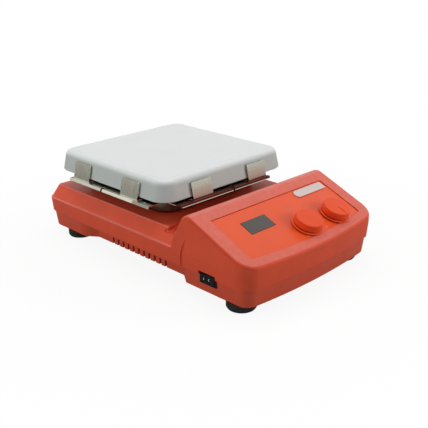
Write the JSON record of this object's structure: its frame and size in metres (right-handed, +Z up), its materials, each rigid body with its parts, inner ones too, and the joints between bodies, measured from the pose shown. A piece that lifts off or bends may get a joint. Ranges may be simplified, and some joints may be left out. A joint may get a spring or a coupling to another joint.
{
  "type": "heated magnetic stirrer",
  "caption": "Low bench instrument with a square heated plate over a spinning magnet, a sloped control head with turn-and-press knobs, a side power switch and a rear inlet.",
  "frame": {"origin": "on the bench under the middle of the housing", "axes": "+Z up, +Y from the control panel towards the rear sockets, +X to the right of someone who faces the control panel"},
  "size_m": [0.2166, 0.352, 0.111],
  "materials": {
    "housing_shell": "satin orange-red moulded shell with a fine texture",
    "base_shell": "satin orange-red moulded tray",
    "overlay": "smooth orange membrane sheet",
    "knob": "satin orange moulded knob",
    "plate": "smooth off-white glazed coating",
    "sheet_steel": "bright rolled stainless sheet",
    "display_glass": "dark grey display lens",
    "rubber": "matt black rubber",
    "black_plastic": "black moulded plastic",
    "silver_trim": "pale silver trim",
    "zinc_steel": "zinc plated steel",
    "circuit_board": "green solder mask",
    "sensor_brass": "turned brass",
    "winding": "enamelled copper wire",
    "mineral_wool": "pressed mineral fibre",
    "machined_steel": "machined steel",
    "cast_aluminium": "plain cast aluminium",
    "magnet": "nickel plated magnet",
    "connector_shell": "tinned connector shell"
  },
  "bodies": {
    "chassis": {"upper_housing": "housing_shell", "base_cover": "base_shell", "control_overlay": "overlay", "heat_knob_collar": "knob", "stir_knob_collar": "knob", "top_plate": "plate", "heat_shield": "sheet_steel", "heater_clamp": "sheet_steel", "plate_post_front_left": "sheet_steel", "plate_post_front_right": "sheet_steel", "plate_post_rear_left": "sheet_steel", "plate_post_rear_right": "sheet_steel", "display_window": "display_glass", "foot_front_left": "rubber", "foot_front_right": "rubber", "foot_rear_left": "rubber", "foot_rear_right": "rubber", "display_module": "black_plastic", "switch_frame": "black_plastic", "power_inlet": "black_plastic", "probe_socket": "black_plastic", "label_plate": "silver_trim", "foot_screw_front_left": "zinc_steel", "foot_screw_front_right": "zinc_steel", "foot_screw_rear_left": "zinc_steel", "foot_screw_rear_right": "zinc_steel", "plate_screw_front_left": "zinc_steel", "plate_screw_front_right": "zinc_steel", "plate_screw_rear_left": "zinc_steel", "plate_screw_rear_right": "zinc_steel", "motor_bracket": "zinc_steel", "motor_ring_nut": "zinc_steel", "rear_panel": "zinc_steel", "control_board": "circuit_board", "power_board": "circuit_board", "temperature_sensor": "sensor_brass", "stator_coil": "winding", "insulation_board": "mineral_wool", "upper_bearing": "machined_steel", "lower_bearing": "machined_steel", "transformer": "machined_steel", "heat_encoder": "machined_steel", "stir_encoder": "machined_steel", "motor_housing": "cast_aluminium", "motor_end_cap": "cast_aluminium", "heating_element": "cast_aluminium", "serial_socket": "connector_shell"},
    "stirring_rotor": {"motor_shaft": "machined_steel", "motor_rotor": "machined_steel", "magnet_holder": "cast_aluminium", "left_magnet": "magnet", "right_magnet": "magnet"},
    "heat_dial": {"heat_encoder_rotor": "black_plastic"},
    "heat_button": {"heat_knob": "knob", "heat_encoder_shaft": "machined_steel"},
    "stir_dial": {"stir_encoder_rotor": "black_plastic"},
    "stir_button": {"stir_knob": "knob", "stir_encoder_shaft": "machined_steel"},
    "rocker": {"switch_rocker": "black_plastic"},
    "fuse_drawer": {"fuse_drawer": "black_plastic"}
  },
  "joints": [
    {"name": "stirring_spin", "type": "hinge", "parent": "chassis", "child": "stirring_rotor", "pos_m": [0, 0.0575, 0.06], "axis": [0, 0, 1], "continuous": true},
    {"name": "heat_turn", "type": "hinge", "parent": "chassis", "child": "heat_dial", "pos_m": [0.0084, -0.149, 0.06458], "axis": [0, -0.3883, 0.9215], "continuous": true},
    {"name": "heat_press", "type": "slide", "parent": "heat_dial", "child": "heat_button", "axis": [0, 0.3883, -0.9215], "range_m": [0, 0.0006], "stiffness_N_per_m": 1500, "springref_m": -0.001},
    {"name": "stir_turn", "type": "hinge", "parent": "chassis", "child": "stir_dial", "pos_m": [0.057, -0.149, 0.06458], "axis": [0, -0.3883, 0.9215], "continuous": true},
    {"name": "stir_press", "type": "slide", "parent": "stir_dial", "child": "stir_button", "axis": [0, 0.3883, -0.9215], "range_m": [0, 0.0006], "stiffness_N_per_m": 1500, "springref_m": -0.001},
    {"name": "power_rock", "type": "hinge", "parent": "chassis", "child": "rocker", "pos_m": [-0.1028, -0.1123, 0.0272], "axis": [0, 0, -1], "range_deg": [0, 18]},
    {"name": "fuse_pull", "type": "slide", "parent": "chassis", "child": "fuse_drawer", "axis": [0, 1, 0], "range_m": [0, 0.014]}
  ]
}
